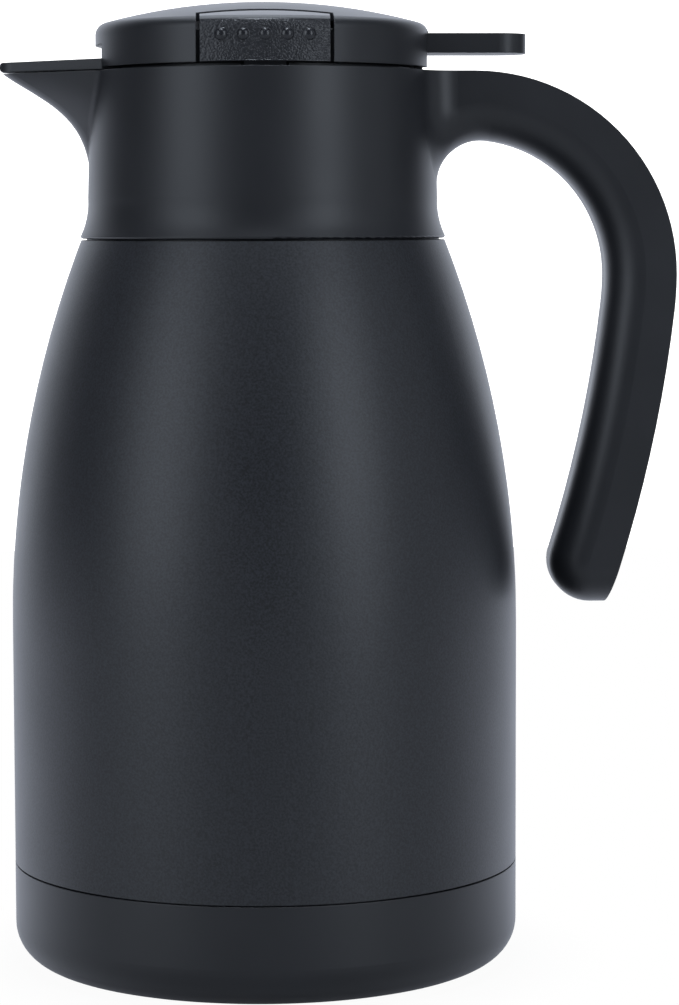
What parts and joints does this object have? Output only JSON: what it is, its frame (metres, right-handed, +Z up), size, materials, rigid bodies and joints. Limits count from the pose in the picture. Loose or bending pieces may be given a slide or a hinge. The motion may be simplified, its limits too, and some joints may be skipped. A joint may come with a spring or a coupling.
{
  "type": "vacuum carafe",
  "caption": "Matte black vacuum carafe: straight body with rounded shoulder, moulded collar with spout and open handle, low domed lift-off lid with squeeze buttons and pour lever.",
  "frame": {"origin": "centre of the flat resting face, on the axis of the flask", "axes": "+Z up along the axis of the flask, +X from the axis towards the handle, so the spout points to -X"},
  "size_m": [0.1664, 0.126, 0.2384],
  "materials": {
    "powder_coat": "fine matte powder coat on steel",
    "steel": "satin stainless steel",
    "moulded_plastic": "satin-matte injection moulding",
    "button_plastic": "spark-eroded texture below a smooth lip",
    "silicone": "moulded silicone"
  },
  "bodies": {
    "vessel": {"outer_shell": "powder_coat", "liner_floor": "steel", "inner_liner": "steel", "liner_neck": "steel", "vacuum_bottom": "steel", "getter": "steel", "base_cup": "moulded_plastic", "neck_gasket": "silicone", "collar": "moulded_plastic", "handle_cover": "moulded_plastic"},
    "lid": {"lid_cover": "moulded_plastic", "lid_base": "moulded_plastic", "stopper": "moulded_plastic", "stopper_seal": "silicone", "lid_screws": "steel", "lever_pin": "steel", "lever_spring": "steel", "button_spring_near": "steel", "button_spring_far": "steel"},
    "lever": {"pour_lever": "moulded_plastic", "pour_seal": "silicone"},
    "button_near": {"release_button_near": "button_plastic"},
    "button_far": {"release_button_far": "button_plastic"}
  },
  "joints": [
    {"name": "lid_lift", "type": "slide", "parent": "vessel", "child": "lid", "axis": [0, 0, 1], "range_m": [0, 0.04]},
    {"name": "lever_press", "type": "hinge", "parent": "lid", "child": "lever", "pos_m": [0, 0, 0.229], "axis": [0, 1, 0], "range_deg": [0, 3.5], "stiffness_Nm_per_rad": 3, "springref_deg": -3.44, "deforming": ["lever_spring"]},
    {"name": "button_near_push", "type": "slide", "parent": "lid", "child": "button_near", "axis": [0, 1, 0], "range_m": [0, 0.002], "stiffness_N_per_m": 1500, "springref_m": -0.003, "deforming": ["button_spring_near"]},
    {"name": "button_far_push", "type": "slide", "parent": "lid", "child": "button_far", "axis": [0, -1, 0], "range_m": [0, 0.002], "stiffness_N_per_m": 1500, "springref_m": -0.003, "deforming": ["button_spring_far"]}
  ]
}
